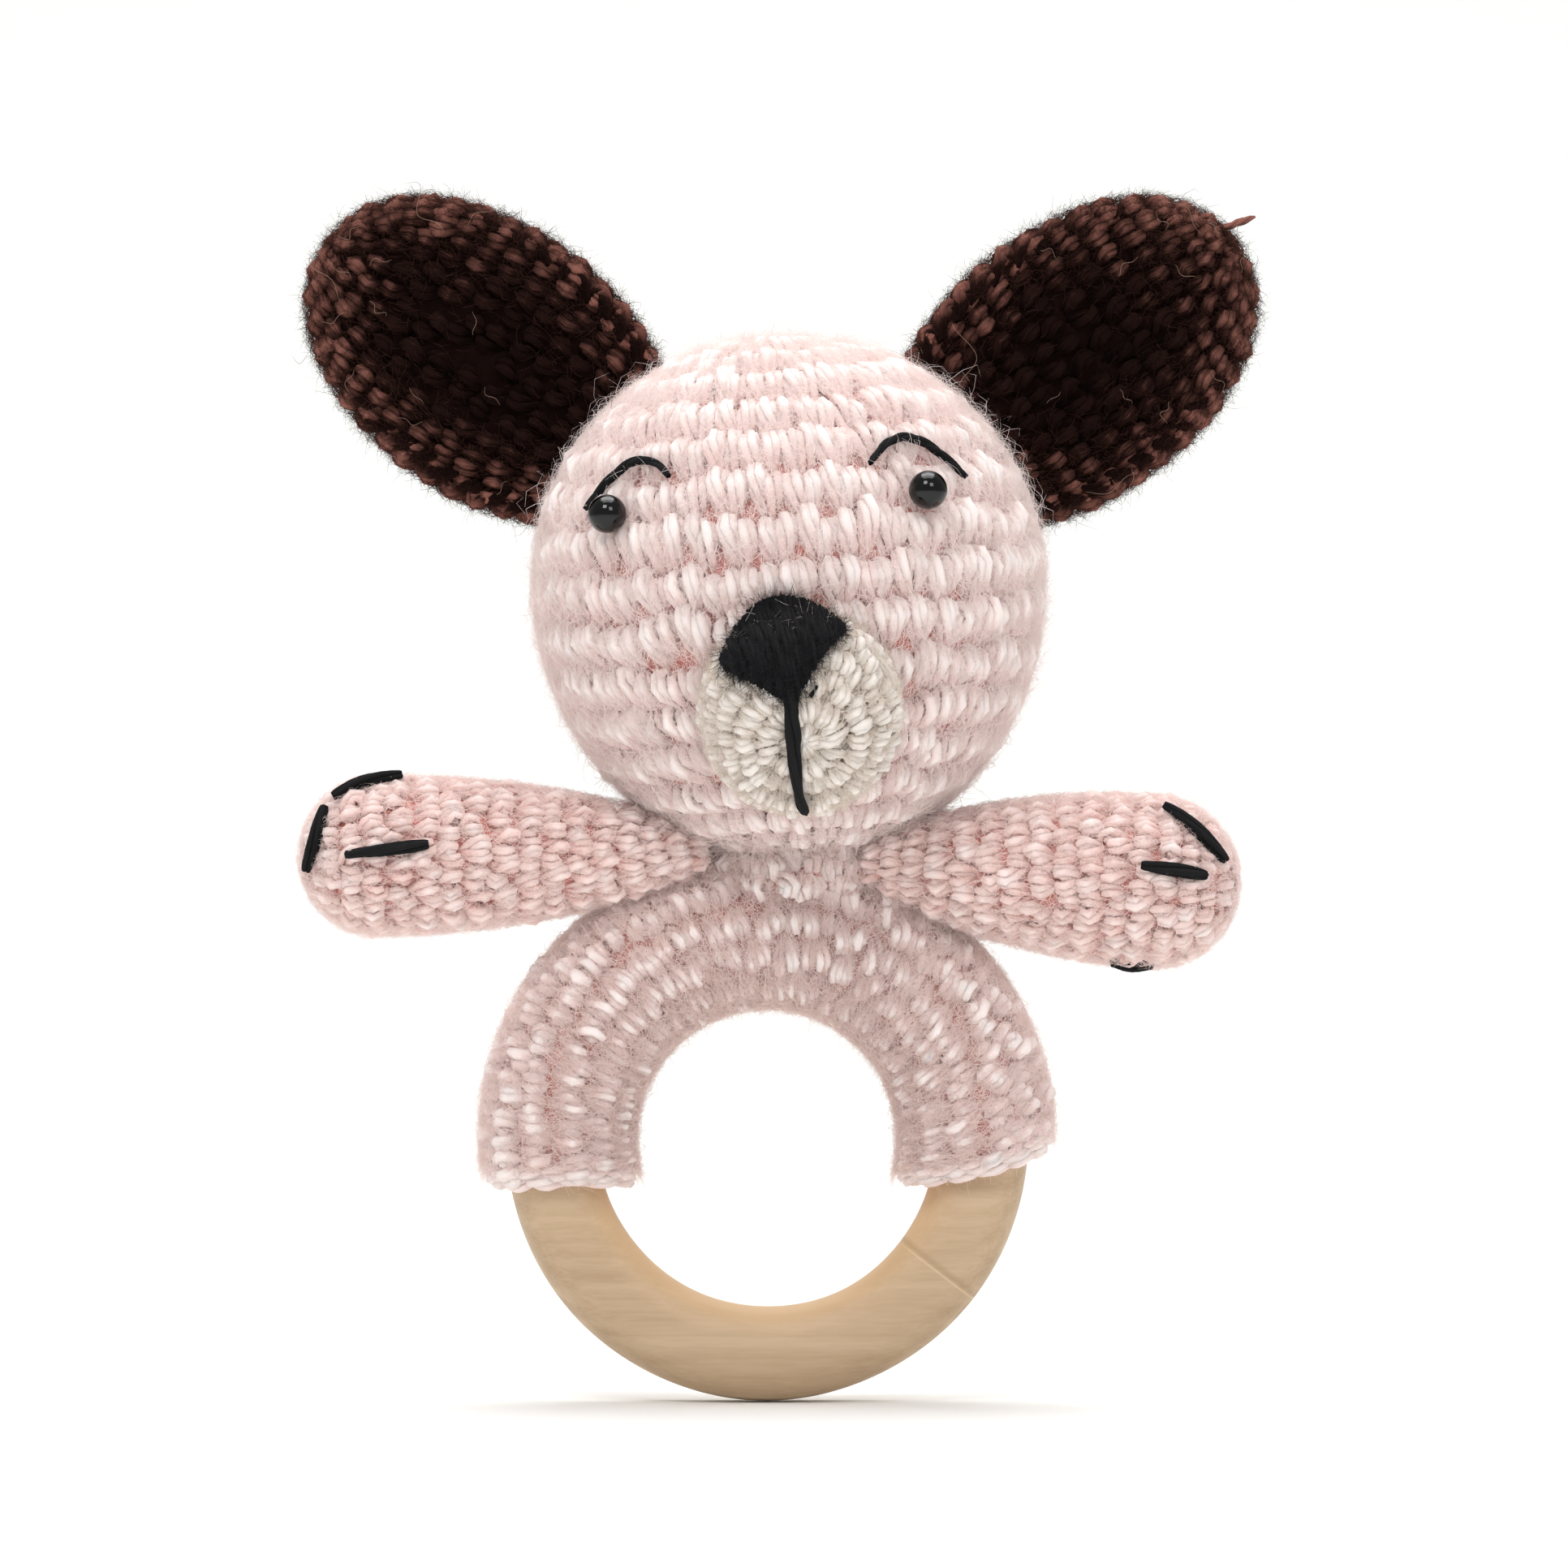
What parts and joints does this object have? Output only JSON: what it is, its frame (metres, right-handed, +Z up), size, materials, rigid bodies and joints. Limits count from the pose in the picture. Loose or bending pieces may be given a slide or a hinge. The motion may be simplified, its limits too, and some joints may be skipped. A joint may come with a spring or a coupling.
{
  "type": "teething ring",
  "caption": "Wooden teething ring in a crocheted sleeve that carries a stuffed dog head with flat ears, two stuffed arms and a rattle capsule inside the head.",
  "frame": {"origin": "centre of the wooden ring, where a hand or a clip strap holds it", "axes": "+Z up from the ring to the head, -Y out of the face, +X to the right of a person facing the toy"},
  "size_m": [0.1283, 0.0779, 0.1615],
  "materials": {
    "pink_yarn": "fluffy pale pink acrylic yarn, single crochet",
    "brown_yarn": "dark brown acrylic yarn, single crochet",
    "white_yarn": "off-white acrylic yarn, single crochet",
    "black_thread": "black embroidery yarn",
    "black_plastic": "glossy black moulded plastic",
    "washer_plastic": "black moulded plastic",
    "fibre_filling": "white polyester fibre filling",
    "beech": "smooth turned beech, unlacquered",
    "capsule_plastic": "clear moulded plastic",
    "bead_plastic": "moulded plastic beads"
  },
  "bodies": {
    "sleeve": {"ring_sleeve": "pink_yarn", "sleeve_seam_yarn": "pink_yarn"},
    "ring": {"wooden_ring": "beech"},
    "neck": {"neck_yarn": "pink_yarn"},
    "head": {"head_cover": "pink_yarn", "head_stuffing_upper": "fibre_filling", "head_stuffing_lower": "fibre_filling", "rattle_capsule_upper": "capsule_plastic", "rattle_capsule_lower": "capsule_plastic", "muzzle_cover": "white_yarn", "muzzle_stuffing": "fibre_filling", "muzzle_seam_yarn": "white_yarn", "nose_embroidery": "black_thread", "mouth_stitch": "black_thread", "left_eye": "black_plastic", "right_eye": "black_plastic", "left_eye_washer": "washer_plastic", "right_eye_washer": "washer_plastic", "left_brow_stitch": "black_thread", "right_brow_stitch": "black_thread", "left_ear_seam_yarn": "brown_yarn", "right_ear_seam_yarn": "brown_yarn"},
    "left_ear": {"left_ear": "brown_yarn"},
    "left_shoulder": {"left_shoulder_yarn": "pink_yarn"},
    "left_arm": {"left_arm_cover": "pink_yarn", "left_arm_stuffing": "fibre_filling", "left_claw_stitch_1": "black_thread", "left_claw_stitch_2": "black_thread", "left_claw_stitch_3": "black_thread"},
    "right_ear": {"right_ear": "brown_yarn"},
    "right_shoulder": {"right_shoulder_yarn": "pink_yarn"},
    "right_arm": {"right_arm_cover": "pink_yarn", "right_arm_stuffing": "fibre_filling", "right_claw_stitch_1": "black_thread", "right_claw_stitch_2": "black_thread", "right_claw_stitch_3": "black_thread"},
    "bead_1": {"rattle_bead_1": "bead_plastic"},
    "bead_2": {"rattle_bead_2": "bead_plastic"},
    "bead_3": {"rattle_bead_3": "bead_plastic"},
    "bead_4": {"rattle_bead_4": "bead_plastic"}
  },
  "joints": [
    {"name": "ring_turn", "type": "hinge", "parent": "sleeve", "child": "ring", "pos_m": [0, 0, 0], "axis": [0, 1, 0], "continuous": true},
    {"name": "head_turn", "type": "hinge", "parent": "sleeve", "child": "neck", "pos_m": [0.0054, 0, 0.0386], "axis": [0, 0, 1], "range_deg": [-30, 30], "stiffness_Nm_per_rad": 0.2},
    {"name": "head_nod", "type": "hinge", "parent": "neck", "child": "head", "pos_m": [0.0054, 0, 0.0386], "axis": [1, 0, 0], "range_deg": [-7, 7], "stiffness_Nm_per_rad": 0.3},
    {"name": "left_arm_swing", "type": "hinge", "parent": "sleeve", "child": "left_shoulder", "pos_m": [-0.0095, -0.005, 0.03811], "axis": [0, 0, 1], "range_deg": [-12, 20], "stiffness_Nm_per_rad": 0.03},
    {"name": "left_arm_raise", "type": "hinge", "parent": "left_shoulder", "child": "left_arm", "pos_m": [-0.0181, -0.005, 0.03846], "axis": [0, 1, 0], "range_deg": [-7, 12], "stiffness_Nm_per_rad": 0.03},
    {"name": "left_ear_flap", "type": "hinge", "parent": "head", "child": "left_ear", "pos_m": [-0.02574, 0.003, 0.09575], "axis": [0.5948, 0, 0.8039], "range_deg": [-20, 20], "stiffness_Nm_per_rad": 0.01},
    {"name": "right_arm_swing", "type": "hinge", "parent": "sleeve", "child": "right_shoulder", "pos_m": [0.0141, -0.005, 0.03694], "axis": [0, 0, -1], "range_deg": [-12, 20], "stiffness_Nm_per_rad": 0.03},
    {"name": "right_arm_raise", "type": "hinge", "parent": "right_shoulder", "child": "right_arm", "pos_m": [0.02129, -0.005, 0.03659], "axis": [0, -1, 0], "range_deg": [-3, 4], "stiffness_Nm_per_rad": 0.03},
    {"name": "right_ear_flap", "type": "hinge", "parent": "head", "child": "right_ear", "pos_m": [0.03125, 0.003, 0.09634], "axis": [0.6088, 0, -0.7934], "range_deg": [-20, 20], "stiffness_Nm_per_rad": 0.01},
    {"name": "bead_1_slide", "type": "slide", "parent": "head", "child": "bead_1", "axis": [-0.0698, 0, 0.9976], "range_m": [0, 0.0157]},
    {"name": "bead_2_slide", "type": "slide", "parent": "head", "child": "bead_2", "axis": [-0.0698, 0, 0.9976], "range_m": [0, 0.0157]},
    {"name": "bead_3_slide", "type": "slide", "parent": "head", "child": "bead_3", "axis": [-0.0698, 0, 0.9976], "range_m": [0, 0.0157]},
    {"name": "bead_4_slide", "type": "slide", "parent": "head", "child": "bead_4", "axis": [-0.0698, 0, 0.9976], "range_m": [0, 0.0157]}
  ]
}
